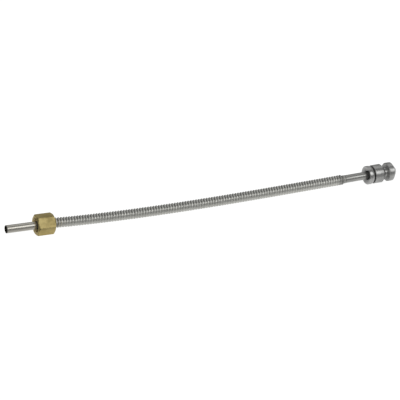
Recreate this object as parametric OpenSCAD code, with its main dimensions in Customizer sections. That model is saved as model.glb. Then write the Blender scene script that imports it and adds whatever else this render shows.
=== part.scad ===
// Flexible corrugated metal hose: a plain tube end with a loose brass union nut, a helically
// corrugated hose, and a second plain tube end that carries a turned plug-in connector.
// Millimetres. +Z is up, the object lies on z = 0, and +X runs from the inlet tube to the hose.

/* [Tubes] */
// Outside diameter of both plain tube ends
tube_od = 8; // [6:0.5:9]
// Wall of the plain tube ends
tube_wall = 0.5; // [0.3:0.1:0.8]

/* [Union nut] */
// Size of the hexagon across its flats, which is also the height of the lying object
nut_af = 19; // [18:0.5:22]
// Length of the nut
nut_length = 18.5; // [17:0.5:22]
// Plain tube that shows in front of the nut
stub_length = 30.7; // [25:0.1:40]
// Minor diameter of the nut's thread
nut_thread_d = 14.4; // [13:0.1:15]

/* [Hose] */
// Outside diameter over the ribs
hose_crest_d = 10.4; // [9.6:0.1:11]
// Outside diameter in the valleys between the ribs
hose_valley_d = 8.3; // [8:0.1:8.6]
// Turns of the helical rib
ribs = 109; // [100:1:115]

/* [Plug] */
// Largest diameter of the plug, on its nose
plug_d = 19; // [18:0.1:19]
// Diameter of its two collars
collar_d = 19; // [17:0.1:19]
// Diameter of the neck between the front collar and the nose
neck_d = 11.2; // [10.5:0.1:14]
// Diameter of the hole in the tip
orifice_d = 3; // [1:0.1:5]
// Direction of the plug, turned from the inlet tube
plug_heading = 5; // [5:1:5]

/* [Hidden] */
$fn = 64;

steel = [0.72, 0.72, 0.70];
dark_steel = [0.60, 0.60, 0.59];
brass = [0.67, 0.62, 0.40];
rubber = [0.12, 0.12, 0.12];

tube_r = tube_od / 2;
tube_bore_r = tube_r - tube_wall;
axis_h = nut_af / 2;
running = 0.06;                       // radial clearance of a piece that slides on a tube
slack = 0.15;                         // radial clearance of pieces that are screwed together

// Union nut and its compression ring, along the inlet tube
nut_corner_r = nut_af / 2 / cos(30);
nut_face_r = nut_af / 2 - 0.5;        // where the 30 degree chamfers reach the end faces
nut_thread_depth = 12;
nut_cone_r = 6;
nut_cone_depth = 2.4;
ring_length = 6;
ring_end_r = tube_r + 0.7;
ring_mid_r = tube_r + 1.6;
ring_x = stub_length + nut_thread_depth - 4.6;

// Hose route: the middle of the hose, from the end of the inlet tube, which lies on the X axis.
// It swings sideways to the plug, and sags between the nut and the plug that it rests on.
hose_start = 50.2;
hose_end = [371.5, 11.7, 0];
sag_depth = 1.9;                      // at its lowest, a third of the way along
stations = 20;
inlet_dir = [1, 0, 0];
plug_dir = [cos(plug_heading), sin(plug_heading), 0];
hose_run = hose_end.x - hose_start;
function swing(t) = hose_end.y * (3 * pow(t, 2) - 2 * pow(t, 3))
    + hose_run * tan(plug_heading) * (pow(t, 3) - pow(t, 2));
function sag(t) = sag_depth * 27 / 4 * t * pow(1 - t, 2);
ROUTE = [for (i = [0:stations]) let (t = i / stations)
    [hose_start + hose_run * t, swing(t), -sag(t)]];

// Plug, measured from the end of the hose along plug_dir
gland_at = 26.0;
gland_edge = 31.2;
body_at = 32.9;
collar_end = 43.0;
nose_at = 49.3;
nose_edge = 54.9;
tip_at = 59.8;
tip_r = 3.7;
gland_recess_r = 6.0;
gland_recess_depth = 3.4;
spigot_r = 5.6;
spigot_end = 37.9;
seal_length = 1.8;                    // the seal fills the bottom of the threaded socket
tube_end = 45.2;                      // the outlet tube reaches this far into the body
rim = 0.35;                           // small chamfer on turned edges
bevel = 0.6;                          // wider one, on the front of the front collar

// Origin: the middle of the bounding box in plan, on the surface that the object lies on
x_max = hose_end.x + tip_at * cos(plug_heading) + tip_r * sin(plug_heading);
y_max = hose_end.y + nose_edge * sin(plug_heading) + plug_d / 2 * cos(plug_heading);
centre = [x_max / 2, (y_max - nut_corner_r) / 2];

module on_inlet() {
    translate([-centre.x, -centre.y, axis_h]) rotate([0, 90, 0]) children();
}

module on_plug() {
    translate([hose_end.x - centre.x, hose_end.y - centre.y, axis_h])
        rotate([0, 0, plug_heading]) rotate([0, 90, 0]) children();
}

// A solid turned on a lathe from [radius, position] pairs, with its axis along +Z
module turned(profile) {
    rotate_extrude() polygon(profile);
}

module tube(from, to) {
    turned([[tube_bore_r, from], [tube_r, from], [tube_r, to], [tube_bore_r, to]]);
}

module inlet_tube() {
    color(steel) on_inlet() tube(0, hose_start);
}

module outlet_tube() {
    color(dark_steel) on_plug() tube(0, tube_end);
}

module compression_ring() {
    cone = (ring_length - 2) / 2;
    color(brass) on_inlet() translate([0, 0, ring_x]) turned([
        [tube_r + running, 0], [ring_end_r, 0], [ring_mid_r, cone],
        [ring_mid_r, cone + 2], [ring_end_r, ring_length], [tube_r + running, ring_length]
    ]);
}

// A hexagon whose corners are turned off at 30 degrees at both ends
module chamfered_hexagon(across_corners_r, face_r, length) {
    over = across_corners_r + 1;
    drop = (over - face_r) * tan(30);
    intersection() {
        rotate(30) cylinder(r = across_corners_r, h = length, $fn = 6);
        turned([[0, 0], [face_r, 0], [over, drop], [over, length - drop], [face_r, length],
                [0, length]]);
    }
}

module union_nut() {
    thread_r = nut_thread_d / 2;
    major_r = thread_r + 0.8;
    hole_r = tube_r + running;
    relief = nut_thread_depth - 1.6;
    color(brass) on_inlet() translate([0, 0, stub_length]) difference() {
        chamfered_hexagon(nut_corner_r, nut_face_r, nut_length);
        turned([
            [0, -1], [major_r + 1, -1], [major_r, 0], [thread_r, major_r - thread_r],
            [thread_r, relief], [major_r, relief + 0.4], [major_r, nut_thread_depth],
            [nut_cone_r, nut_thread_depth], [hole_r, nut_thread_depth + nut_cone_depth],
            [hole_r, nut_length - rim], [hole_r + rim + 1, nut_length + 1], [0, nut_length + 1]
        ]);
    }
}

module gland_nut() {
    r = collar_d / 2;
    land = gland_edge - 1.8;          // the front of the collar is bevelled from here
    bore_r = tube_r + slack;
    floor_at = gland_at + gland_recess_depth;
    color(dark_steel) on_plug() turned([
        [bore_r, floor_at], [gland_recess_r - 0.6, floor_at], [gland_recess_r, floor_at - 0.6],
        [gland_recess_r, gland_at + rim], [gland_recess_r + rim, gland_at], [r - rim, gland_at],
        [r, gland_at + rim], [r, land], [r - 0.5, gland_edge], [spigot_r, gland_edge],
        [spigot_r, spigot_end - rim], [spigot_r - rim, spigot_end], [bore_r, spigot_end]
    ]);
}

module gland_seal() {
    color(rubber) on_plug() translate([0, 0, spigot_end]) turned([
        [tube_r, 0], [spigot_r - 0.6, 0], [spigot_r - 0.2, 0.4],
        [spigot_r - 0.2, seal_length - 0.4], [spigot_r - 0.6, seal_length], [tube_r, seal_length]
    ]);
}

module plug_body() {
    r = collar_d / 2;
    nose_r = plug_d / 2;
    neck_r = neck_d / 2;
    hole_r = orifice_d / 2;
    socket_r = spigot_r + slack;
    seat = spigot_end + seal_length;
    color(steel) on_plug() turned([
        [socket_r, seat], [socket_r, body_at + rim], [socket_r + rim, body_at], [r - rim, body_at],
        [r, body_at + rim], [r, collar_end - bevel], [r - bevel, collar_end], [neck_r, collar_end],
        [neck_r, nose_at], [nose_r - rim, nose_at], [nose_r, nose_at + rim],
        [nose_r, nose_edge], [tip_r + 0.6, tip_at - 0.5], [tip_r, tip_at],
        [hole_r + 0.3, tip_at], [hole_r, tip_at - 0.3], [hole_r, nose_at + 1],
        [tube_bore_r, nose_at - 1], [tube_bore_r, tube_end],
        [tube_r + running, tube_end], [tube_r + running, seat]
    ]);
}

// ---- The corrugated hose: one rib that winds along the route as a left-hand helix ----

sides = 8;
crest_r = hose_crest_d / 2;
valley_r = hose_valley_d / 2;
rib_start = 0.75;                     // from the hose's end to where the rib begins
rib_angle = -45;                      // it begins and ends low on the near side
fade = 2;                             // sides over which its height grows and dies away
bore_step = 7;

// A point of the smooth curve through the route, with u counting the route's points
// (the points past its ends mirror the ones inside, so that the hose leaves along each tube)
function beyond(end, inner, dir) = inner + 2 * ((end - inner) * dir) * dir;
function knot(i) =
    i < 0 ? beyond(ROUTE[0], ROUTE[1], inlet_dir) :
    i > stations ? beyond(ROUTE[stations], ROUTE[stations - 1], plug_dir) : ROUTE[i];
function spline(a, b, c, d, t) =
    b + t * ((c - a) / 2 + t * ((2 * a - 5 * b + 4 * c - d) / 2 + t * (3 * b - a - 3 * c + d) / 2));
function slope(a, b, c, d, t) =
    (c - a) / 2 + t * ((2 * a - 5 * b + 4 * c - d) + t * 3 * (3 * b - a - 3 * c + d) / 2);
function station(u) = min(floor(u), stations - 1);
function middle(u) =
    let (i = station(u)) spline(knot(i - 1), knot(i), knot(i + 1), knot(i + 2), u - i);
function heading(u) =
    let (i = station(u), v = slope(knot(i - 1), knot(i), knot(i + 1), knot(i + 2), u - i))
    v / norm(v);

// Length along the route up to each of its points, and the way back from a length to u
SPAN = [for (i = [0:stations - 1]) norm(ROUTE[i + 1] - ROUTE[i])];
function reach(i) = i == 0 ? 0 : reach(i - 1) + SPAN[i - 1];
REACH = [for (i = [0:stations]) reach(i)];
hose_length = REACH[stations];
function along(s, i = 0) =
    i >= stations - 1 || s < REACH[i + 1] ? i + (s - REACH[i]) / SPAN[i] : along(s, i + 1);

// A point at the length s, at an angle from the near side towards the top, and at a radius
function hose_point(s, angle, r) =
    let (u = along(s), t = heading(u), side = cross([0, 0, 1], t) / norm(cross([0, 0, 1], t)),
         up = cross(t, side))
    middle(u) - r * cos(angle) * side + r * sin(angle) * up;

turn = 360 / sides;
pitch = (hose_length - 2 * rib_start) / ribs;
last = sides * (ribs - 1);            // the side at which the last turn begins
end_side = last + sides;
function crest_height(i) = min(1, (i + 0.5) / fade, (end_side - i + 0.5) / fade);
function crest(i) =
    hose_point(rib_start + pitch * i / sides, rib_angle + turn * i,
               valley_r + (crest_r - valley_r) * crest_height(i));
function valley(i) =
    hose_point(rib_start + pitch * (i / sides + 0.5), rib_angle + turn * i, valley_r);
function ring(s, r) = [for (j = [0:sides - 1]) hose_point(s, rib_angle + turn * j, r)];

bore_rings = ceil(hose_length / bore_step);
crest_0 = 0;
valley_0 = end_side + 1;
front_0 = valley_0 + last + 1;
back_0 = front_0 + sides;
bore_0 = back_0 + sides;
function next(j) = (j + 1) % sides;
function quad(a, b, c, d) = [[a, b, c], [a, c, d]];
function flat(lists) = [for (l = lists) for (x = l) x];

hose_points = concat(
    [for (i = [0:end_side]) crest(i)],
    [for (i = [0:last]) valley(i)],
    ring(0, valley_r),
    ring(hose_length, valley_r),
    flat([for (k = [0:bore_rings]) ring(hose_length * k / bore_rings, tube_bore_r)])
);

hose_faces = flat([
    for (i = [0:last - 1]) quad(crest_0 + i, valley_0 + i, valley_0 + i + 1, crest_0 + i + 1),
    for (i = [0:last - 1])
        quad(valley_0 + i, crest_0 + i + sides, crest_0 + i + sides + 1, valley_0 + i + 1),
    for (j = [0:sides - 1]) quad(front_0 + j, crest_0 + j, crest_0 + j + 1, front_0 + next(j)),
    for (j = [0:sides - 1])
        quad(crest_0 + last + j, back_0 + j, back_0 + next(j), crest_0 + last + j + 1),
    quad(front_0, crest_0 + sides, valley_0, crest_0),
    quad(back_0, crest_0 + last, valley_0 + last, crest_0 + end_side),
    for (j = [0:sides - 1]) quad(bore_0 + j, front_0 + j, front_0 + next(j), bore_0 + next(j)),
    for (j = [0:sides - 1])
        let (rear = bore_0 + sides * bore_rings)
        quad(back_0 + j, rear + j, rear + next(j), back_0 + next(j)),
    for (k = [0:bore_rings - 1], j = [0:sides - 1])
        let (a = bore_0 + sides * k, b = a + sides) quad(a + j, a + next(j), b + next(j), b + j)
]);

module corrugated_hose() {
    color(steel) translate([-centre.x, -centre.y, axis_h]) polyhedron(hose_points, hose_faces);
}

// The least gap of the hose to itself, between points at least eight pitches apart along it
probe = [for (s = [0:pitch:hose_length]) middle(along(s))];
own_gap = min([for (i = [0:len(probe) - 1], j = [i + 8:4:len(probe) - 1])
               norm(probe[i] - probe[j])]) - hose_crest_d;
echo(hose_length = hose_length, pitch = pitch, own_gap = own_gap);
echo(rib_gap = pitch / 2, hose_wall = valley_r * cos(turn / 2) - tube_bore_r);
echo(centre = centre, x_max = x_max, y_max = y_max, nut_gap = hose_start - stub_length - nut_length);

inlet_tube();
compression_ring();
union_nut();
corrugated_hose();
outlet_tube();
gland_nut();
gland_seal();
plug_body();
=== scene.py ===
# %% [markdown]
# # A flexible metal hose with a union nut and a plug
#
# The real object is a short steel hose with one long rib wound round it. At one end a plain
# tube passes through a loose brass nut; at the other a turned steel plug sits on a second
# tube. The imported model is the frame: it says where every piece is, and nothing here moves it.

# %% Load the frame
import math

import bpy
from mathutils import Matrix, Vector


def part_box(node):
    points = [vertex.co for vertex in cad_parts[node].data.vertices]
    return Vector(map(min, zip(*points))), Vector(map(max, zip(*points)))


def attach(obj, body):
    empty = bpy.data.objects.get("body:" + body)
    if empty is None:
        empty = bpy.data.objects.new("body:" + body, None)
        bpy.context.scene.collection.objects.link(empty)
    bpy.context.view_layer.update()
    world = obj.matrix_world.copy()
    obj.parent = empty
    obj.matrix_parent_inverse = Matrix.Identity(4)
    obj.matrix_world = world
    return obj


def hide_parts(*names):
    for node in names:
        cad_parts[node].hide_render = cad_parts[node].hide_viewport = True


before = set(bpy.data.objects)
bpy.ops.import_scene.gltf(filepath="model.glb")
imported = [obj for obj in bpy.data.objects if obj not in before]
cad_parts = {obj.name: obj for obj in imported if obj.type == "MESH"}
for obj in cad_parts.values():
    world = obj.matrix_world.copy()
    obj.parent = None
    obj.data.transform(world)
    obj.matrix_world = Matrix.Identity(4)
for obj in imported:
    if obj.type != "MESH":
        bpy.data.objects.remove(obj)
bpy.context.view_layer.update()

MM = 0.001
scene = bpy.context.scene

# %% [markdown]
# ## Where the axes run
#
# Two straight lines carry everything that is turned: the inlet tube's and the plug's. The
# first comes from the inlet tube's own box. The hose joins them, along a route with the same
# rule as the solid's, with its lengths in millimetres.

# %% The two axes and the route
tube_low, tube_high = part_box("inlet_tube")
INLET = Vector((tube_low.x, (tube_low.y + tube_high.y) / 2, (tube_low.z + tube_high.z) / 2))
PLUG_HEADING = math.radians(5)
PLUG_DIRECTION = Vector((math.cos(PLUG_HEADING), math.sin(PLUG_HEADING), 0))
X, Z = Vector((1, 0, 0)), Vector((0, 0, 1))
HOSE_START, HOSE_END = Vector((50.2, 0, 0)), Vector((371.5, 11.7, 0))
HOSE_RUN = HOSE_END.x - HOSE_START.x
SAG_DEPTH, STATIONS = 1.9, 20


def route_point(t):
    """A point of the hose's middle: it swings sideways to the plug, and sags a little."""
    swing = (HOSE_END.y * (3 * t ** 2 - 2 * t ** 3)
             + HOSE_RUN * math.tan(PLUG_HEADING) * (t ** 3 - t ** 2))
    sag = SAG_DEPTH * 27 / 4 * t * (1 - t) ** 2
    return INLET + MM * Vector((HOSE_START.x + HOSE_RUN * t, swing, -sag))


ROUTE = [route_point(i / STATIONS) for i in range(STATIONS + 1)]
PLUG = ROUTE[-1]


def beyond(end, inner, direction):
    """The point past an end that mirrors the one inside, so the curve ends along direction."""
    return inner + 2 * (end - inner).dot(direction) * direction


def smooth_route(points, steps=10):
    """Points of a Catmull-Rom curve that leaves the tubes along their axes."""
    knots = ([beyond(points[0], points[1], X)] + points
             + [beyond(points[-1], points[-2], PLUG_DIRECTION)])
    line = []
    for a, b, c, d in zip(knots, knots[1:], knots[2:], knots[3:]):
        for i in range(steps):
            t = i / steps
            cubic = (2 * a - 5 * b + 4 * c - d) / 2 + t * (3 * b - a - 3 * c + d) / 2
            line.append(b + t * ((c - a) / 2 + t * cubic))
    return line + [points[-1].copy()]


route_line = smooth_route(ROUTE)

# %% [markdown]
# ## Camera
#
# A long lens from far off keeps the tube's two ends almost the same width. The camera stands
# to the left of the hose and looks a little down on it. It is aimed by three distances from
# the inlet tube's open end: along the tube, and to its own right and upwards.

# %% Camera
AZIMUTH, ELEVATION, ROLL = math.radians(24.2), math.radians(22), math.radians(1.94)
DISTANCE, FAR_LIMIT = 3.5, 30         # metres
AIM_ALONG, AIM_RIGHT, AIM_UP = 0.2154, -0.0082, 0.0022
LENS_MM, SENSOR_MM = 315.6, 36
forward = Vector((math.sin(AZIMUTH) * math.cos(ELEVATION),
                  math.cos(AZIMUTH) * math.cos(ELEVATION), -math.sin(ELEVATION)))
level = Vector((math.cos(AZIMUTH), -math.sin(AZIMUTH), 0))
right = math.cos(ROLL) * level + math.sin(ROLL) * level.cross(forward)
up = right.cross(forward)
aim = INLET + AIM_ALONG * X + AIM_RIGHT * right + AIM_UP * up
camera = bpy.data.objects.new("camera", bpy.data.cameras.new("camera"))
scene.collection.objects.link(camera)
camera.data.lens = LENS_MM
camera.data.sensor_width = SENSOR_MM
camera.data.clip_end = FAR_LIMIT
camera.location = aim - DISTANCE * forward
camera.rotation_mode = "QUATERNION"
camera.rotation_quaternion = Matrix((right, up, -forward)).transposed().to_quaternion()
scene.camera = camera
print("camera at", [round(x, 3) for x in camera.location])

# %% [markdown]
# ## Helpers for node trees
#
# Shader trees and geometry trees are both lists of nodes and links. A few small helpers keep
# their scripts short enough to read. Wherever one of them takes a value, it is either plain,
# such as a number or a vector, or the output of another node.

# %% Node helpers


def link(tree, out, into):
    """Links one node's output to another's input."""
    tree.links.new(out, into)


def feed(tree, value, socket):
    """Gives an input its value: linked if another node makes it, set if it is plain."""
    if isinstance(value, bpy.types.NodeSocket):
        link(tree, value, socket)
    else:
        socket.default_value = value


def node(tree, kind, **values):
    """A new node. in_Scale=2 feeds its input Scale, and in_0=2 the first one of all.

    Any other word sets a property of the node. The words are used in their order, because
    some properties decide which inputs there are.
    """
    made = tree.nodes.new(kind)
    for word, value in values.items():
        if not word.startswith("in_"):
            setattr(made, word, value)
            continue
        label = word[3:]
        key = int(label) if label.isdigit() else label.replace("_", " ")
        feed(tree, value, made.inputs[key])
    return made


def math_node(tree, operation, *values):
    """A Math node; returns its output."""
    made = node(tree, "ShaderNodeMath", operation=operation)
    for value, socket in zip(values, made.inputs):
        feed(tree, value, socket)
    return made.outputs[0]


def vector_node(tree, operation, *values, output=0):
    """A Vector Math node; output 0 is the vector it makes, and 1 the number."""
    made = node(tree, "ShaderNodeVectorMath", operation=operation)
    for value, socket in zip(values, made.inputs):
        feed(tree, value, socket)
    return made.outputs[output]


def scaled(tree, vector, factor):
    """A vector times a number."""
    return node(tree, "ShaderNodeVectorMath", operation="SCALE", in_0=vector,
                in_Scale=factor).outputs[0]


def map_range(tree, value, low, high, start=0.0, stop=1.0, smooth=False):
    """start where value is under low, stop where it is over high, and a slope between."""
    return node(tree, "ShaderNodeMapRange", in_0=value, in_1=low, in_2=high, in_3=start,
                in_4=stop, interpolation_type="SMOOTHSTEP" if smooth else "LINEAR").outputs[0]


# %% Node groups
FLOAT, VECTOR = "NodeSocketFloat", "NodeSocketVector"


def new_group(name, kind, inputs, outputs):
    """A node group with named sockets, given as (name, socket type, default or None)."""
    group = bpy.data.node_groups.new(name, kind)
    for label, socket, default in inputs:
        made = group.interface.new_socket(label, in_out="INPUT", socket_type=socket)
        if default is not None:
            made.default_value = default
    for label, socket in outputs:
        group.interface.new_socket(label, in_out="OUTPUT", socket_type=socket)
    return group, group.nodes.new("NodeGroupInput"), group.nodes.new("NodeGroupOutput")


# %% [markdown]
# ## Effects that several finishes share
#
# Metal never shines evenly: a drawn tube has fine lines along it, a turned face has fine
# rings, and handling leaves scratches and dull clouds. Each effect is a node group that puts
# out a mask, and every finish uses it with its own strengths. The clouds are plain noise. The
# scratches are the borders of long thin cells, bent a little, that show in patches only.

# %% Group: clouds and scratches
CLOUD_SPAN = (0.38, 0.66)             # the noise at which a cloud starts, and is full
PATCH_SPAN, PATCH_SIZE = (0.5, 0.7), 90.0  # the same for a patch of scratches; waves a metre
BEND_SIZE, BEND_REACH = 260.0, 0.004  # waves in a metre, and metres
SCRATCH_WIDTH = 0.035                 # share of the cell that a scratch borders
SCRATCH_WAYS = [                      # how the cells are turned, and how they are drawn out
    ((0.4, 0.9, 0.3), (0.12, 1.0, 1.0)),
    ((1.2, 0.2, 2.0), (1.0, 0.1, 1.0)),
]


def noise(tree, place, size, detail, roughness=0.5):
    """The outputs of a Noise texture. size is the number of its waves in a metre."""
    return node(tree, "ShaderNodeTexNoise", in_Vector=place, in_Scale=size, in_Detail=detail,
                in_Roughness=roughness).outputs


def handling_group():
    """Dull clouds, and thin scratches that run every way."""
    group, start, end = new_group(
        "Handling marks", "ShaderNodeTree",
        [("Vector", VECTOR, None), ("Cloud size", FLOAT, 120.0),
         ("Scratch size", FLOAT, 420.0)],
        [("Clouds", FLOAT), ("Scratches", FLOAT)])
    put = start.outputs
    clouds = noise(group, put["Vector"], put["Cloud size"], detail=4.0, roughness=0.6)["Fac"]
    link(group, map_range(group, clouds, *CLOUD_SPAN), end.inputs["Clouds"])

    bend = noise(group, put["Vector"], BEND_SIZE, detail=1.0)["Color"]
    bent = vector_node(group, "ADD", put["Vector"], scaled(group, bend, BEND_REACH))
    lines = []
    for turn, stretch in SCRATCH_WAYS:
        placed = node(group, "ShaderNodeMapping", in_Vector=bent, in_Rotation=turn,
                      in_Scale=stretch)
        cells = node(group, "ShaderNodeTexVoronoi", feature="DISTANCE_TO_EDGE",
                     in_Vector=placed.outputs[0], in_Scale=put["Scratch size"])
        lines.append(map_range(group, cells.outputs["Distance"], 0.0, SCRATCH_WIDTH, 1.0, 0.0))
    patchy = noise(group, put["Vector"], PATCH_SIZE, detail=2.0)["Fac"]
    scratches = math_node(group, "MULTIPLY", math_node(group, "MAXIMUM", *lines),
                          map_range(group, patchy, *PATCH_SPAN))
    link(group, scratches, end.inputs["Scratches"])
    return group


HANDLING = handling_group()
print("group:", HANDLING.name)

# %% Group: drawn lines and turned rings
MARK_SPAN = (0.3, 0.7)
DRAWN_OUT = 0.02, 1.0, 1.0            # slow along X, so the noise turns into lines
TURNED_ROUND = 1.0, 0.03, 0.03        # slow across X, so it turns into rings


def machining_group():
    """Lines along X, as on a drawn tube, and rings across X, as from a lathe."""
    group, start, end = new_group(
        "Machining marks", "ShaderNodeTree",
        [("Vector", VECTOR, None), ("Line size", FLOAT, 2600.0),
         ("Ring size", FLOAT, 5200.0)],
        [("Lines", FLOAT), ("Rings", FLOAT)])
    put = start.outputs
    for out, size, stretch in (("Lines", "Line size", DRAWN_OUT),
                               ("Rings", "Ring size", TURNED_ROUND)):
        placed = node(group, "ShaderNodeMapping", in_Vector=put["Vector"], in_Scale=stretch)
        marks = noise(group, placed.outputs[0], put[size], detail=3.0, roughness=0.55)["Fac"]
        link(group, map_range(group, marks, *MARK_SPAN), end.inputs[out])
    return group


MACHINING = machining_group()
print("group:", MACHINING.name)

# %% [markdown]
# ## Finishes
#
# One function makes each metal: a colour that drifts between two tones, a roughness that the
# clouds and marks disturb, and a bump from the marks. Two masks are stored in the mesh, point
# by point. The first is where wear has changed the metal's colour, and on the nut it is painted
# shade. The second is a matt cover: dust and heat tint on the hose, painted shade in its
# valleys, in the plug's hollows and where one piece covers a tube, and painted light in the
# nut's thread. It doesn't shine, so it takes the metal's shine away too.

# %% Parts of a material


def new_material(name):
    """An empty material: itself, its tree, and the input for its surface."""
    material = bpy.data.materials.new(name)
    material.use_nodes = True
    tree = material.node_tree
    tree.nodes.clear()
    return material, tree, tree.nodes.new("ShaderNodeOutputMaterial").inputs["Surface"]


def object_place(tree):
    """Object coordinates, in metres."""
    return tree.nodes.new("ShaderNodeTexCoord").outputs["Object"]


def stored_mask(tree, name):
    """A number that the mesh keeps for each of its points."""
    return node(tree, "ShaderNodeAttribute", attribute_name=name).outputs["Fac"]


def effect(tree, group, place):
    """The outputs of a shared effect."""
    return node(tree, "ShaderNodeGroup", node_tree=group, in_Vector=place).outputs


def mixed(tree, share, first, second):
    """A colour that goes from first to second while share goes from 0 to 1."""
    first, second = ((*c, 1) if isinstance(c, tuple) else c for c in (first, second))
    return node(tree, "ShaderNodeMix", data_type="RGBA", in_Factor=share, in_A=first,
                in_B=second).outputs["Result"]


def weighted(tree, total, *parts):
    """A number, plus each (mask, weight) part."""
    for mask, weight in parts:
        total = math_node(tree, "MULTIPLY_ADD", mask, weight, total)
    return total


def bumped(tree, height, strength, depth):
    """The surface's normal, tilted by a height that counts for so many metres."""
    return node(tree, "ShaderNodeBump", in_Strength=strength, in_Distance=depth,
                in_Height=height).outputs[0]


# %% Metal finishes
TONE_SHARE = 0.5                      # how far the clouds take the colour to its second tone
WEAR_AND_SHADE_LEAST, WEAR_AND_SHADE_CLOUDS = 0.4, 0.5    # share of the wear and painted shade that shows, and more in the clouds
COVER_MATT = 0.85                     # how far the full cover of dust and painted light and shade hides the metal's shine
SCRATCH_ROUGHNESS, MARK_ROUGHNESS = 0.12, 0.10
SCRATCH_DEPTH = -0.6                  # against a height of 1 for the lines and rings
MARK_STRENGTH, MARK_DEPTH = 0.12, 0.00005


def metal(name, base, tone, wear_and_shade_colour, rough, cloud_rough, lines=0.0, rings=0.0, heading=0.0,
          dirt_and_light_colour=None):
    """A bare metal that drifts between the colours base and tone.

    Its wear colour shows where the first mask is: wear, and on the nut painted shade. Its last
    colour shows where the second mask is: dust and heat tint, painted shade, and the nut's
    painted light. Its roughness is rough, and cloud_rough more in the clouds. lines and rings
    are how much of these marks it has, along an axis that is turned by heading from X.
    """
    material, tree, surface = new_material(name)
    shader = node(tree, "ShaderNodeBsdfPrincipled", in_Metallic=1.0)
    link(tree, shader.outputs[0], surface)
    place = node(tree, "ShaderNodeMapping", in_Vector=object_place(tree),
                 in_Rotation=(0, 0, -heading)).outputs[0]
    marks, handled = effect(tree, MACHINING, place), effect(tree, HANDLING, place)
    clouds, scratches = handled["Clouds"], handled["Scratches"]

    colour = mixed(tree, math_node(tree, "MULTIPLY", clouds, TONE_SHARE), base, tone)
    # wear, and on the nut painted shade on its top, corners and bevel
    uneven = weighted(tree, WEAR_AND_SHADE_LEAST, (clouds, WEAR_AND_SHADE_CLOUDS))
    wear_and_shade_share = math_node(tree, "MULTIPLY", stored_mask(tree, "wear_and_shade"), uneven)
    colour = mixed(tree, wear_and_shade_share, colour, wear_and_shade_colour)
    # a matt cover: dust and heat tint on the hose, painted shade in hollows, painted light in
    # the nut's thread
    if dirt_and_light_colour:
        dirt_and_painted_light = stored_mask(tree, "dirt_and_painted_light")
        colour = mixed(tree, dirt_and_painted_light, colour, dirt_and_light_colour)
        link(tree, weighted(tree, 1.0, (dirt_and_painted_light, -COVER_MATT)), shader.inputs["Metallic"])
    link(tree, colour, shader.inputs["Base Color"])

    roughness = weighted(tree, rough, (clouds, cloud_rough), (scratches, SCRATCH_ROUGHNESS),
                         (marks["Lines"], MARK_ROUGHNESS * lines),
                         (marks["Rings"], MARK_ROUGHNESS * rings))
    link(tree, roughness, shader.inputs["Roughness"])
    height = weighted(tree, 0.0, (marks["Lines"], lines), (marks["Rings"], rings),
                      (scratches, SCRATCH_DEPTH))
    link(tree, bumped(tree, height, MARK_STRENGTH, MARK_DEPTH), shader.inputs["Normal"])
    return material


# %% [markdown]
# The inlet tube is the most polished piece, and the hose is paler and duller. On the steels the
# matt cover is a dark colour: painted shade, with dust and heat tint on the hose. The nut's
# masks
# work the other way round: its brass is bright on the flats, its wear colour is a dark brown
# that paints shade on its top, corners and front bevel, and its matt cover is a pale brass that
# paints light into the thread.

# %% The six metals
# the last colour of each steel is painted shade, and on the hose also dust
polished_steel = metal(
    "Polished steel tube", base=(0.61, 0.59, 0.53), tone=(0.50, 0.48, 0.42),
    wear_and_shade_colour=(0.78, 0.77, 0.72), dirt_and_light_colour=(0.022, 0.018, 0.009),
    rough=0.19, cloud_rough=0.10, lines=1.0)
hose_steel = metal(
    "Corrugated steel", base=(0.68, 0.68, 0.64), tone=(0.57, 0.57, 0.53),
    wear_and_shade_colour=(0.80, 0.80, 0.76), dirt_and_light_colour=(0.05, 0.05, 0.05),
    rough=0.33, cloud_rough=0.12, lines=0.5)
drawn_steel = metal(
    "Drawn steel tube", base=(0.46, 0.46, 0.44), tone=(0.37, 0.37, 0.35),
    wear_and_shade_colour=(0.60, 0.60, 0.58), dirt_and_light_colour=(0.045, 0.045, 0.043),
    rough=0.22, cloud_rough=0.12, lines=1.0, heading=PLUG_HEADING)
turned_steel = metal(
    "Turned steel", base=(0.54, 0.54, 0.53), tone=(0.45, 0.45, 0.44),
    wear_and_shade_colour=(0.72, 0.72, 0.70), dirt_and_light_colour=(0.11, 0.11, 0.105),
    rough=0.20, cloud_rough=0.10, rings=1.0, heading=PLUG_HEADING)
# the nut's dark brown is painted shade, and its pale matt brass is painted light in the thread
nut_brass = metal(
    "Drawn brass", base=(0.69, 0.57, 0.26), tone=(0.60, 0.48, 0.21),
    wear_and_shade_colour=(0.13, 0.10, 0.03), dirt_and_light_colour=(0.80, 0.66, 0.36),
    rough=0.46, cloud_rough=0.10, lines=0.8)
ring_brass = metal(
    "Turned brass", base=(0.55, 0.45, 0.18), tone=(0.45, 0.36, 0.14),
    wear_and_shade_colour=(0.70, 0.60, 0.30), rough=0.25, cloud_rough=0.10, rings=0.8)
print("metals:", [m.name for m in bpy.data.materials])

# %% Rubber
RUBBER_BLACK, RUBBER_DUST = (0.018, 0.018, 0.018), (0.045, 0.044, 0.042)
RUBBER_ROUGH, DUST_ROUGH = 0.55, 0.2
GRAIN_SIZE, GRAIN_STRENGTH, GRAIN_DEPTH = 4000.0, 0.2, 0.00004


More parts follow.
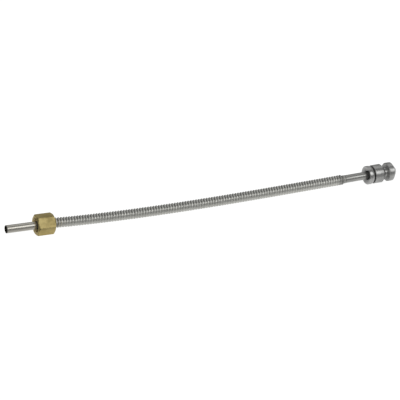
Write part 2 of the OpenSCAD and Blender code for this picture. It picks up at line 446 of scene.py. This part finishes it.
def rubber_finish():
    """Matt black rubber with a fine moulded grain and dusty patches."""
    material, tree, surface = new_material("Seal rubber")
    shader = node(tree, "ShaderNodeBsdfPrincipled")
    link(tree, shader.outputs[0], surface)
    place = object_place(tree)
    clouds = effect(tree, HANDLING, place)["Clouds"]
    link(tree, mixed(tree, clouds, RUBBER_BLACK, RUBBER_DUST), shader.inputs["Base Color"])
    roughness = weighted(tree, RUBBER_ROUGH, (clouds, DUST_ROUGH))
    link(tree, roughness, shader.inputs["Roughness"])
    grain = noise(tree, place, GRAIN_SIZE, detail=2.0)["Fac"]
    link(tree, bumped(tree, grain, GRAIN_STRENGTH, GRAIN_DEPTH), shader.inputs["Normal"])
    return material


seal_rubber = rubber_finish()
print("rubber:", seal_rubber.name)

# %% [markdown]
# ## The corrugated hose
#
# A real one is a thin tube that rollers have pressed into a screw-like wave. Here a geometry
# tree does the same: it sweeps a circle along the route and moves each point in or out by a
# wave of its length along the hose and its angle round it. Because the wave advances by one
# rib in one turn, the rib comes out as a single helix, with no seam.
#
# The sweep comes first. Each ring of its skin has to remember the curve inside it, and that
# is what the Capture Attribute node is for.

# %% Geometry: a circle swept along a curve
CAPTURED = [                          # what a ring remembers: name, kind, and where it is from
    ("middle", "VECTOR", "GeometryNodeInputPosition", "Position"),
    ("tangent", "VECTOR", "GeometryNodeInputTangent", "Tangent"),
    ("along", "FLOAT", "GeometryNodeSplineParameter", "Length"),
]


def swept_circle(group, put):
    """The plain skin, and the three things that its rings remember."""
    count = math_node(group, "MULTIPLY", put["Ribs"], put["Rings per rib"])
    route = node(group, "GeometryNodeResampleCurve", in_Curve=put["Geometry"], in_Count=count)
    kept = node(group, "GeometryNodeCaptureAttribute")
    for label, kind, _, _ in CAPTURED:
        kept.capture_items.new(kind, label)
    link(group, route.outputs[0], kept.inputs[0])
    for label, _, source, output in CAPTURED:
        link(group, group.nodes.new(source).outputs[output], kept.inputs[label])
    circle = node(group, "GeometryNodeCurvePrimitiveCircle", in_Resolution=put["Sides"],
                  in_Radius=put["Valley radius"])
    skin = node(group, "GeometryNodeCurveToMesh", in_Curve=kept.outputs[0],
                in_Profile_Curve=circle.outputs[0])
    return skin.outputs[0], *(kept.outputs[label] for label, *_ in CAPTURED)


def section_frame(group, middle, tangent):
    """For a point of the skin: the way outwards, how far that looks up, and its angle."""
    here = group.nodes.new("GeometryNodeInputPosition").outputs[0]
    outward = vector_node(group, "NORMALIZE", vector_node(group, "SUBTRACT", here, middle))
    side = vector_node(group, "NORMALIZE", vector_node(group, "CROSS_PRODUCT", Z, tangent))
    above = vector_node(group, "CROSS_PRODUCT", tangent, side)
    upward = vector_node(group, "DOT_PRODUCT", outward, above, output=1)
    sideways = vector_node(group, "DOT_PRODUCT", outward, side, output=1)
    angle = math_node(group, "ARCTAN2", upward, math_node(group, "MULTIPLY", sideways, -1.0))
    return outward, upward, angle


# %% [markdown]
# Then the rib, and what lies in it. The valleys are darker: some dust, and painted shade that
# grows towards the top of the hose and is full at its two ends. Brazing the hose on to the
# plug's tube has darkened the last ribs there. Each of these effects is a Map Range node, and
# its four numbers stand together below: where a change starts and ends, and the value before
# and after it.

# %% Geometry: the rib, its dust and its painted shade
RIB_GROWS = (-0.35, 0.25, 0.0, 1.0)   # mm past an end of the ribs; share of the rib's height
END_SHADE = (0.0, 8.0, 1.0, 0.0)       # mm past an end; share of painted shade in the valleys
LOW_DUST_AND_SHADE = (-0.45, 0.10, 0.05, 0.42)      # how far up a point looks, from -1 to 1; share of dust and painted shade
TOP_DUST_AND_SHADE = (0.42, 0.85, 0.0, 0.58)     # how far up it looks; more dust and painted shade on top of that
HEAT_STAIN = (2.0, 9.0, 0.45, 0.0)    # mm from the last rib; share of dirt, on crests too
CUFF_SHARE = (-0.5, 0.1, 0.3, 1.0)     # mm past an end; the plain cuffs keep less of it all
VALLEY_FORM, CREST_FORM = 2.5, 4.0    # powers: how narrow the valleys' dust and painted shade, and the worn crest, are


def by_distance(group, distance, change, smooth=True):
    """A change over a distance in millimetres."""
    low, high, start, stop = change
    return map_range(group, distance, low * MM, high * MM, start, stop, smooth)


def rib_height(group, put, ribbed, from_start, inside, angle):
    """The rib's height at a point, from 0 in the valley to 1 on the crest."""
    pitch = math_node(group, "DIVIDE", ribbed, put["Ribs"])
    turns = math_node(group, "DIVIDE", from_start, pitch)
    angles = math_node(group, "SUBTRACT", angle, put["Start angle"])
    phase = math_node(group, "SUBTRACT", math_node(group, "MULTIPLY", turns, math.tau), angles)
    wave = math_node(group, "MULTIPLY_ADD", math_node(group, "COSINE", phase), 0.5, 0.5)
    return math_node(group, "MULTIPLY", wave, by_distance(group, inside, RIB_GROWS))


def rib_dust_and_shade(group, rib, upward, inside, to_last):
    """How far dust, heat tint and painted shade have darkened a point."""
    low_dust_and_shade = map_range(group, upward, *LOW_DUST_AND_SHADE)
    top_dust_and_shade = map_range(group, upward, *TOP_DUST_AND_SHADE, smooth=True)
    dust_and_shade = math_node(group, "MAXIMUM", by_distance(group, inside, END_SHADE, smooth=False),
                     math_node(group, "ADD", low_dust_and_shade, top_dust_and_shade))
    valley = math_node(group, "POWER", math_node(group, "SUBTRACT", 1.0, rib), VALLEY_FORM)
    heat = by_distance(group, to_last, HEAT_STAIN)
    dark = math_node(group, "MAXIMUM", math_node(group, "MULTIPLY", valley, dust_and_shade), heat)
    return math_node(group, "MULTIPLY", dark, by_distance(group, inside, CUFF_SHARE))


# %% Geometry: the whole tree


def ribbed_tube_tree():
    """A tube with one rib wound round it, along whatever curve the tree is given."""
    group, start, end = new_group(
        "Ribbed tube", "GeometryNodeTree",
        [("Geometry", "NodeSocketGeometry", None),
         ("Crest radius", FLOAT, 5.2 * MM), ("Valley radius", FLOAT, 4.15 * MM),
         ("Ribs", FLOAT, 109.0), ("Rings per rib", "NodeSocketInt", 10),
         ("Sides", "NodeSocketInt", 36), ("Plain start", FLOAT, 0.75 * MM),
         ("Plain end", FLOAT, 2.85 * MM), ("Start angle", FLOAT, -math.pi / 4),
         ("Material", "NodeSocketMaterial", None)],
        [("Geometry", "NodeSocketGeometry")])
    put = start.outputs
    skin, middle, tangent, along = swept_circle(group, put)
    outward, upward, angle = section_frame(group, middle, tangent)
    length = node(group, "GeometryNodeCurveLength", in_0=put["Geometry"]).outputs[0]
    last_rib = math_node(group, "SUBTRACT", length, put["Plain end"])
    ribbed = math_node(group, "SUBTRACT", last_rib, put["Plain start"])
    from_start = math_node(group, "SUBTRACT", along, put["Plain start"])
    to_last = math_node(group, "SUBTRACT", last_rib, along)
    inside = math_node(group, "MINIMUM", from_start, to_last)

    rib = rib_height(group, put, ribbed, from_start, inside, angle)
    height = math_node(group, "SUBTRACT", put["Crest radius"], put["Valley radius"])
    radius = math_node(group, "MULTIPLY_ADD", rib, height, put["Valley radius"])
    place = vector_node(group, "ADD", middle, scaled(group, outward, radius))
    shape = node(group, "GeometryNodeSetPosition", in_Geometry=skin, in_Position=place)
    # the crests are worn; the valleys get dust, heat tint and painted shade
    for label, value in (("wear_and_shade", math_node(group, "POWER", rib, CREST_FORM)),
                         ("dirt_and_painted_light", rib_dust_and_shade(group, rib, upward, inside, to_last))):
        shape = node(group, "GeometryNodeStoreNamedAttribute", data_type="FLOAT",
                     domain="POINT", in_Geometry=shape.outputs[0], in_Name=label,
                     in_Value=value)
    smooth = node(group, "GeometryNodeSetShadeSmooth", in_0=shape.outputs[0])
    real = node(group, "GeometryNodeRealizeInstances", in_0=smooth.outputs[0])
    coated = node(group, "GeometryNodeSetMaterial", in_Geometry=real.outputs[0],
                  in_Material=put["Material"])
    link(group, coated.outputs[0], end.inputs["Geometry"])
    return group


RIBBED_TUBE = ribbed_tube_tree()
print("tree:", RIBBED_TUBE.name, len(RIBBED_TUBE.nodes), "nodes")

# %% [markdown]
# The tree needs a curve to work on. The route's smooth line becomes a plain poly curve, the
# modifier gets its inputs by the sockets' identifiers, and the result is kept as a plain
# mesh. A Solidify modifier then gives the thin wall that a rolled hose has.

# %% Sweep the hose
HOSE_WALL = 0.3


def input_id(tree, name):
    """The identifier of a tree's input socket, by which a modifier's value is set."""
    return next(s.identifier for s in tree.interface.items_tree
                if s.name == name and s.in_out == "INPUT")


def grown(source, tree, **values):
    """The mesh that a geometry tree makes of an object."""
    modifier = source.modifiers.new("grow", "NODES")
    modifier.node_group = tree
    for name, value in values.items():
        modifier[input_id(tree, name)] = value
    scene.view_layers[0].update()
    made = bpy.data.meshes.new_from_object(
        source.evaluated_get(bpy.context.evaluated_depsgraph_get()))
    source.modifiers.remove(modifier)
    return made


def route_curve(line):
    """An object that is a curve straight from point to point."""
    data = bpy.data.curves.new("route", "CURVE")
    data.dimensions = "3D"
    spline = data.splines.new("POLY")
    spline.points.add(len(line) - 1)
    for point, place in zip(spline.points, line):
        point.co = (*place, 1)
    made = bpy.data.objects.new("route", data)
    scene.collection.objects.link(made)
    return made


def outward_faces(mesh, line):
    """Turns the faces of an open tube round if they point at its middle."""
    face = mesh.polygons[len(mesh.polygons) // 2]
    middle = min(line, key=lambda p: (p - face.center).length)
    if face.normal.dot(face.center - middle) < 0:
        mesh.flip_normals()


route = route_curve(route_line)
mesh = grown(route, RIBBED_TUBE, Material=hose_steel)
bpy.data.objects.remove(route)
outward_faces(mesh, route_line)
hose = bpy.data.objects.new("hose", mesh)
scene.collection.objects.link(hose)
wall = hose.modifiers.new("wall", "SOLIDIFY")
wall.thickness = HOSE_WALL * MM
wall.offset = -1
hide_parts("corrugated_hose")
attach(hose, "hose_and_plug")
print(f"hose: {len(mesh.polygons)} faces")

# %% [markdown]
# ## Turned pieces
#
# Tubes, collars and the plug come off a lathe, so each is an outline carried round an axis.
# The outline runs round the piece's wall, outside and bore, which closes the mesh with no
# seam and no pole. A corner may have a radius, drawn as a short arc, because light catches
# a rounded edge and never a sharp one.

# %% Outlines with rounded corners
CORNER_ROOM = 0.45                    # share of a side that the corner at its end may take


def rounded(outline, steps=4):
    """(radius, along, corner, painted shade) corners -> (radius, along, wear, painted shade)
    points, in mm.
    """
    points = []
    for i, (r, x, corner, *painted_marks) in enumerate(outline):
        here, painted_mark = Vector((r, x)), painted_marks[0] if painted_marks else 0.0
        if not corner:
            points.append((r, x, 0.0, painted_mark))
            continue
        before = Vector(outline[i - 1][:2]) - here
        after = Vector(outline[(i + 1) % len(outline)][:2]) - here
        cut = min(corner / math.tan(before.angle(after) / 2),
                  before.length * CORNER_ROOM, after.length * CORNER_ROOM)
        a, c = here + before.normalized() * cut, here + after.normalized() * cut
        for k in range(steps + 1):
            t = k / steps
            point = (1 - t) ** 2 * a + 2 * t * (1 - t) * here + t * t * c
            points.append((point.x, point.y, math.sin(math.pi * t), painted_mark))
    return points


# %% Closed meshes round an axis
SHARP_ANGLE = math.radians(32)


def ring_faces(turns, points):
    """The faces between one turn's points and the next turn's, all the way round."""
    return [(t * points + k, t * points + (k + 1) % points,
             (t + 1) % turns * points + (k + 1) % points, (t + 1) % turns * points + k)
            for t in range(turns) for k in range(points)]


def finished(name, places, faces, material, wear_and_shade_list, painted_marks):
    """A smooth closed mesh that stores, for each point, its wear and its painted light and
    shade.
    """
    data = bpy.data.meshes.new(name)
    data.from_pydata(places, [], faces)
    volume = sum(places[a].dot(places[b].cross(places[c]) + places[c].cross(places[d]))
                 for a, b, c, d in faces) / 6
    if volume < 0:
        data.flip_normals()
    data.attributes.new("wear_and_shade", "FLOAT", "POINT").data.foreach_set("value", wear_and_shade_list)
    data.attributes.new("dirt_and_painted_light", "FLOAT", "POINT").data.foreach_set("value", painted_marks)
    data.materials.append(material)
    data.shade_smooth()
    data.set_sharp_from_angle(angle=SHARP_ANGLE)
    made = bpy.data.objects.new(name + "_skin", data)
    scene.collection.objects.link(made)
    print(f"{name}: {len(faces)} faces, {abs(volume) / MM ** 3:.0f} mm3")
    return made


def turned(name, outline, origin, direction, material, body, segments=96):
    """A lathe-turned piece: its outline in mm, carried round direction from origin."""
    points = rounded(outline)
    side = Z.cross(direction).normalized()
    above = direction.cross(side)
    places = []
    for s in range(segments):
        turn = math.tau * s / segments
        outwards = math.cos(turn) * side + math.sin(turn) * above
        places += [origin + (x * MM) * direction + (r * MM) * outwards
                   for r, x, _, _ in points]
    made = finished(name, places, ring_faces(segments, len(points)), material,
                    [p[2] for p in points] * segments, [p[3] for p in points] * segments)
    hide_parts(name)
    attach(made, body)


# %% [markdown]
# The tubes are square-cut with a small break on each rim, which is darker. Their bores get
# painted shade, and so does a band of each tube from where the nut or the plug covers it. The
# compression ring is a double cone of soft brass. The plug's rear collar is a nut that is
# screwed into the body: a thin gap stays between them, and its rear face is a shallow dish
# round the tube's hole.

# %% Tubes
TUBE_R, TUBE_BORE, RIM = 4.0, 3.5, 0.18
RIM_DARK, RIM_REACH = 0.9, 0.9       # share of darkening on the rim, and mm to where it ends
COVERED_SHADE, FAR_SHADE = 0.8, 0.15          # shares of painted shade in the band, and further in
SHADE_TO, FADED_AT = 6, 14            # mm from where another piece starts to cover the tube


def tube_outline(to_mm, covered):
    """A tube: painted shade in its bore and from where another piece covers it, a darker rim."""
    return [
        (TUBE_BORE, 0, RIM, 1), (TUBE_R, 0, RIM, RIM_DARK), (TUBE_R, RIM_REACH, 0),
        (TUBE_R, covered - 0.4, 0), (TUBE_R, covered + 0.4, 0, COVERED_SHADE),
        (TUBE_R, covered + SHADE_TO, 0, COVERED_SHADE), (TUBE_R, covered + FADED_AT, 0, FAR_SHADE),
        (TUBE_R, to_mm - 0.5, 0, FAR_SHADE), (TUBE_R, to_mm, RIM, 0.8),
        (TUBE_BORE, to_mm, RIM, 1),
    ]


turned("inlet_tube", tube_outline(HOSE_START.x, 30.3), INLET, X, polished_steel,
       "hose_and_plug")
turned("outlet_tube", tube_outline(45.2, 24.2), PLUG, PLUG_DIRECTION, drawn_steel,
       "hose_and_plug")

# %% Compression ring
ring_low, ring_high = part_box("compression_ring")
ring_start = (ring_low.x - INLET.x) / MM
ring_end = ring_start + (ring_high.x - ring_low.x) / MM
RING_BORE, RING_TIP, RING_R, CONE = 4.06, 4.7, 5.6, 2
turned("compression_ring", [
    (RING_BORE, ring_start, 0), (RING_TIP, ring_start, 0.1), (RING_R, ring_start + CONE, 0.4),
    (RING_R, ring_end - CONE, 0.4), (RING_TIP, ring_end, 0.1), (RING_BORE, ring_end, 0),
], INLET, X, ring_brass, "ring")

# %% Plug
# Each outline starts inside the piece's rear, runs over its outside to its front, and comes
# back through its bore. A corner is a radius, a place along the axis, a rounding and painted
# shade: a dull grey in the dish's hole, the gap, the bores, round the neck and on the nose's
# rear face.
turned("gland_nut", [
    # the dished rear face, and the collar
    (4.15, 29.4, 0.2, 1), (4.6, 29.4, 0, 1), (4.6, 27.6, 0, 1), (4.9, 27.2, 0.1, 0.5),
    (9.0, 26.0, 0.1), (9.5, 26.5, 0.3), (9.5, 29.4, 0.15), (9.2, 30.4, 0, 0.1),
    (9.0, 31.2, 0.15, 0.5),
    # the spigot that goes into the body
    (5.6, 31.2, 0.2, 1), (5.6, 37.55, 0, 1), (5.25, 37.9, 0, 1), (4.15, 37.9, 0.1, 1),
], PLUG, PLUG_DIRECTION, turned_steel, "hose_and_plug")

turned("gland_seal", [
    (4.0, 37.9, 0), (5.0, 37.9, 0), (5.4, 38.3, 0.2), (5.4, 39.3, 0.2), (5.0, 39.7, 0),
    (4.0, 39.7, 0),
], PLUG, PLUG_DIRECTION, seal_rubber, "hose_and_plug")

turned("plug_body", [
    # the socket for the spigot, and the front collar
    (5.75, 39.7, 0, 1), (5.75, 33.25, 0, 1), (6.1, 32.9, 0.1, 1), (8.2, 32.9, 0, 1),
    (9.0, 32.9, 0.1, 0.3), (9.5, 33.4, 0.25), (9.5, 42.3, 0.1, 0.3), (8.9, 43.0, 0.1, 1),
    # the neck
    (6.6, 43.0, 0, 0.6), (5.6, 43.0, 0.3, 0.9), (5.6, 45.9, 0, 0.9), (5.6, 46.5, 0),
    (5.6, 48.6, 0), (5.6, 49.3, 0.3, 0.5),
    # the nose, its cone and its tip
    (7.5, 49.3, 0, 0.4), (8.7, 49.3, 0.1, 0.3), (9.5, 50.1, 0.3, 0.2), (9.5, 54.9, 0.5),
    (4.3, 59.3, 0.6), (3.7, 59.8, 0.3), (1.8, 59.8, 0.1), (1.5, 59.5, 0.1, 1),
    # the bore, and the seat of the tube
    (1.5, 50.3, 0, 1), (3.5, 48.3, 0, 1), (3.5, 45.2, 0, 1), (4.06, 45.2, 0, 1),
    (4.06, 39.7, 0, 1),
], PLUG, PLUG_DIRECTION, turned_steel, "hose_and_plug", segments=128)

# %% [markdown]
# ## The union nut
#
# A hexagon bar, turned off at 30 degrees at both ends, so its corners end in curved facets.
# The mesh goes round the nut's section as for the turned pieces, but here a point's radius
# comes from a rule: the least of the flats and the two cones, blended over a fraction of a
# millimetre so that every edge is rounded. Inside, a V-shaped screw thread runs in from the
# mouth, then a cone takes the compression ring, and a plain hole clears the tube.
#
# The same rule paints shade on the brass: along the corners, on the faces that look up, and
# most of all on the bevel round the mouth, towards the front. Inside, the thread and the bore
# are a pale matt brass, which paints light into the mouth.

# %% The nut's outside
nut_low, nut_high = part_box("union_nut")
NUT_LENGTH = (nut_high.x - nut_low.x) / MM
NUT_FLAT = (nut_high.z - nut_low.z) / MM / 2
NUT_AT = (nut_low.x - INLET.x) / MM
FACE_R = NUT_FLAT - 0.5               # where the flat end faces meet the bevels
SIXTH = math.pi / 3                   # of a turn: one side of the hexagon
FLAT_BLEND, BEVEL_BLEND = 0.35, 0.25  # mm over which two of the nut's surfaces run together
CORNER_SHADE, CORNER_WIDTH = 0.7, 1.1  # painted shade on the six corners, and over how many mm it fades
TOP_SHADE = 0.40                       # painted shade on the faces that look up, and none on those below
BEVEL_SHADE, BEVEL_FADE = 0.40, 0.7    # painted shade on the whole bevel, and over how many mm it fades
BEVEL_SHADIEST = math.radians(62)      # round this angle from straight up there is more painted shade
BEVEL_REACH, FAR_REACH = 1.5, 1.3     # how far the painted shade runs on past the bevel, and further
FAR_REACH_AT = math.radians(80)       # round this angle


def clamped(value):
    """The number, but at least 0 and at most 1."""
    return min(1.0, max(0.0, value))


def soft_least(a, b, blend):
    """The smaller of two numbers, with the corner between them rounded off."""
    h = clamped(0.5 + 0.5 * (b - a) / blend)
    return b + (a - b) * h - blend * h * (1 - h)


def nut_outside(turn, x):
    """Radius of the nut's outside at an angle from straight up, and its painted shade there."""
    sector = (turn + SIXTH / 2) % SIXTH - SIXTH / 2
    flat = NUT_FLAT / math.cos(sector)
    next_flat = NUT_FLAT / math.cos(SIXTH - abs(sector))
    cone = FACE_R + min(x, NUT_LENGTH - x) / math.tan(math.radians(30))
    radius = soft_least(soft_least(flat, next_flat, FLAT_BLEND), cone, BEVEL_BLEND)
    corner = CORNER_SHADE * max(0.0, 1 - abs(flat - next_flat) / CORNER_WIDTH)
    top = TOP_SHADE * clamped(1.5 * math.cos(turn) + 0.5)
    if x >= NUT_LENGTH / 2:
        return radius, max(corner, top)
    depth = BEVEL_SHADE + max(0.0, math.cos(turn - BEVEL_SHADIEST)) ** 2
    reach = BEVEL_REACH + FAR_REACH * max(0.0, math.cos(turn - FAR_REACH_AT)) ** 4
    bevel = depth * clamped((min(flat, next_flat) - cone) / BEVEL_FADE + reach)
    return radius, max(corner, top, bevel)


print(f"nut: {NUT_LENGTH:.1f} mm long, {2 * NUT_FLAT:.1f} mm across its flats")

# %% The nut's inside
THREAD_PITCH, THREAD_MINOR, THREAD_MAJOR = 1.5, 7.2, 8.0
THREAD_DEPTH, MOUTH_R = 12.0, 8.6
THREAD_END = THREAD_DEPTH - 1.6       # the rest of the depth is the thread's relief
THREAD_FADE = 0.8
STEPS_PER_PITCH = 12
NUT_HOLE, RING_SEAT = TUBE_R + 0.06, 6.0


def nut_thread(turn, x):
    """Radius of a right-hand inside thread that fades out at both ends, and no wear."""
    phase = (x / THREAD_PITCH - turn / math.tau) % 1
    groove = clamped((abs(phase - 0.5) * 2 - 0.15) / 0.65)
    fade = clamped(min(x - 0.5, THREAD_END - x) / THREAD_FADE)
    depth = (THREAD_MAJOR - THREAD_MINOR) * groove * fade
    return max(MOUTH_R - x, THREAD_MINOR + depth), 0.0


def nut_section():
    """The section's points in order: (along, radius or the rule that gives it, painted light).
    """
    outside = [(NUT_LENGTH * (0.5 - 0.5 * math.cos(math.pi * i / 40)), nut_outside, 0.0)
               for i in range(1, 40)]
    steps = round((THREAD_END - 0.1) / THREAD_PITCH * STEPS_PER_PITCH)
    # the thread and the bore are a pale matt brass: painted light in the mouth
    thread = [(THREAD_END + (0.1 - THREAD_END) * i / steps, nut_thread, 0.8)
              for i in range(steps + 1)]
    front = [(0.0, MOUTH_R, 0.05), (0.0, FACE_R - 0.1, 0.0), (0.05, FACE_R + 0.02, 0.0)]
    rear = [(NUT_LENGTH - 0.05, FACE_R + 0.02, 0.1), (NUT_LENGTH, FACE_R - 0.12, 0.2),
            (NUT_LENGTH, NUT_HOLE + 0.6, 0.4)]
    hole = [(NUT_LENGTH - 0.35, NUT_HOLE, 0.5), (THREAD_DEPTH + 2.4, NUT_HOLE, 0.5),
            (THREAD_DEPTH, RING_SEAT, 0.5)]
    relief = [(THREAD_DEPTH, THREAD_MAJOR - 0.1, 0.5), (THREAD_DEPTH - 0.1, THREAD_MAJOR, 0.5),
              (THREAD_END + 0.4, THREAD_MAJOR, 0.6)]
    return front + outside + rear + hole + relief + thread


print("nut's section:", len(nut_section()), "points")

# %% The nut's mesh


def nut_turns(per_flat=18):
    """Angles round the nut, closer together at its corners."""
    return [SIXTH * f + SIXTH / 2 * math.sin(math.pi / 2 * (2 * (i + 0.5) / per_flat - 1))
            for f in range(6) for i in range(per_flat)]


def make_nut():
    """The section, carried round the inlet tube's axis."""
    section, turns = nut_section(), nut_turns()
    places, wear_and_shade_list = [], []
    for turn in turns:
        for x, rule, _ in section:
            # the outside's rule also gives the painted shade on the brass
            radius, wear_and_shade = rule(turn, x) if callable(rule) else (rule, 0.0)
            wear_and_shade_list.append(wear_and_shade)
            places.append(INLET + Vector((NUT_AT + x, -radius * math.sin(turn),
                                          radius * math.cos(turn))) * MM)
    return finished("union_nut", places, ring_faces(len(turns), len(section)), nut_brass,
                    wear_and_shade_list, [painted_marks for _, _, painted_marks in section] * len(turns))


nut = make_nut()
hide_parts("union_nut")
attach(nut, "nut")

# %% [markdown]
# ## Floor and light
#
# The object lies on a plain pale floor. To the camera the floor and the sky are white, and
# the floor keeps a faint shadow. Metal shows what is round it, so the sky is built like a
# studio: a long bright panel in front, a weaker one just past overhead, and darker room
# between and behind them. The bands follow the angle round the X axis, from the floor in
# front, over the top, to the wall behind. In the metal the floor is pale under the object and
# behind it, and darker towards the front.

# %% Floor
FLOOR_HALF = 4.0                      # metres
FLOOR_COLOUR = 0.8
FLOOR_GLOW, FLOOR_SHADE = 0.93, 0.30  # to the camera: its own light, and a grey for shadows
FLOOR_SHEEN = [                       # mm in front of the middle (-) or behind it; brightness
    (-60, 0.14), (-30, 0.22), (-16, 0.45), (-8, 0.57), (0, 0.60), (12, 0.64), (70, 0.66),
]


def ray_kinds(tree):
    """1 for the camera's rays, and 1 for those in which metal and glass show things."""
    path = tree.nodes.new("ShaderNodeLightPath").outputs
    mirrored = math_node(tree, "MAXIMUM", path["Is Glossy Ray"], path["Is Transmission Ray"])
    return path["Is Camera Ray"], mirrored


def ramp(tree, value, stops, unit=1.0):
    """A smooth curve through (place, result) stops, read at a value."""
    low, high = stops[0][0] * unit, stops[-1][0] * unit
    top = max(result for _, result in stops)
    curve = node(tree, "ShaderNodeValToRGB", in_Fac=map_range(tree, value, low, high))
    curve.color_ramp.interpolation = "EASE"
    points = curve.color_ramp.elements
    for i, (place, result) in enumerate(stops):
        point = points[i] if i < 2 else points.new(1.0)
        point.position = (place * unit - low) / (high - low)
        point.color = (result / top, result / top, result / top, 1)
    return math_node(tree, "MULTIPLY", curve.outputs["Color"], top)


def grey(value):
    """A grey colour."""
    return value, value, value, 1


def floor_finish():
    """White to the camera, a band of sheen in metal, and a plain pale floor to all else."""
    material, tree, surface = new_material("Pale floor")
    camera_ray, mirrored = ray_kinds(tree)
    parts = node(tree, "ShaderNodeSeparateXYZ", in_0=object_place(tree)).outputs
    sheen = ramp(tree, parts["Y"], FLOOR_SHEEN, MM)
    strength = node(tree, "ShaderNodeMix", in_Factor=camera_ray, in_A=sheen, in_B=FLOOR_GLOW)
    glow = node(tree, "ShaderNodeEmission", in_Strength=strength.outputs["Result"])
    shade = node(tree, "ShaderNodeBsdfDiffuse", in_Color=grey(FLOOR_SHADE))
    seen = node(tree, "ShaderNodeAddShader", in_0=shade.outputs[0], in_1=glow.outputs[0])
    pale = node(tree, "ShaderNodeBsdfDiffuse", in_Color=grey(FLOOR_COLOUR))
    choose = node(tree, "ShaderNodeMixShader", in_1=pale.outputs[0], in_2=seen.outputs[0],
                  in_Fac=math_node(tree, "MAXIMUM", camera_ray, mirrored))
    link(tree, choose.outputs[0], surface)
    return material


floor_data = bpy.data.meshes.new("floor")
floor_data.from_pydata([(FLOOR_HALF * x, FLOOR_HALF * y, 0)
                        for x, y in ((-1, -1), (1, -1), (1, 1), (-1, 1))], [], [(0, 1, 2, 3)])
floor_data.materials.append(floor_finish())
floor = bpy.data.objects.new("floor", floor_data)
scene.collection.objects.link(floor)
print("floor:", 2 * FLOOR_HALF, "m across")

# %% Sky
SKY_BANDS = [                         # degrees up from the front and over the top; brightness
    (-90, 0.05), (14, 0.05), (26, 1.7), (48, 1.7),                    # the panel in front
    (62, 0.08), (82, 0.06), (98, 0.60), (124, 0.56),                  # the one past overhead
    (140, 0.20), (200, 0.26), (270, 0.26),                            # the room behind
]
SKY_ENDS = (0.62, 0.85, 1.0, 0.25)    # how far a direction leans along X; share of the light
WHITE_SHARE = 0.12                    # how much of the white background metal shows


def sky():
    """A world that is white to the camera, and bands of light to everything else."""
    world = bpy.data.worlds.new("Studio")
    scene.world = world
    world.use_nodes = True
    tree = world.node_tree
    tree.nodes.clear()
    out = tree.nodes.new("ShaderNodeOutputWorld")
    where = tree.nodes.new("ShaderNodeTexCoord").outputs["Generated"]
    parts = node(tree, "ShaderNodeSeparateXYZ", in_0=where).outputs
    to_front = math_node(tree, "MULTIPLY", parts["Y"], -1.0)
    angle = math_node(tree, "ARCTAN2", parts["Z"], to_front)
    low_behind = math_node(tree, "LESS_THAN", angle, -math.pi / 2)
    angle = math_node(tree, "MULTIPLY_ADD", low_behind, math.tau, angle)
    bands = ramp(tree, angle, SKY_BANDS, math.radians(1))
    lean = math_node(tree, "ABSOLUTE", parts["X"])
    ends = map_range(tree, lean, *SKY_ENDS, smooth=True)
    studio = node(tree, "ShaderNodeBackground", in_Color=grey(1),
                  in_Strength=math_node(tree, "MULTIPLY", bands, ends))
    white = node(tree, "ShaderNodeBackground", in_Color=grey(1), in_Strength=1.0)
    camera_ray, mirrored = ray_kinds(tree)
    choose = node(tree, "ShaderNodeMixShader", in_1=studio.outputs[0], in_2=white.outputs[0],
                  in_Fac=weighted(tree, camera_ray, (mirrored, WHITE_SHARE)))
    link(tree, choose.outputs[0], out.inputs["Surface"])


sky()
scene.view_settings.view_transform = "Standard"
print("sky bands:", len(SKY_BANDS))
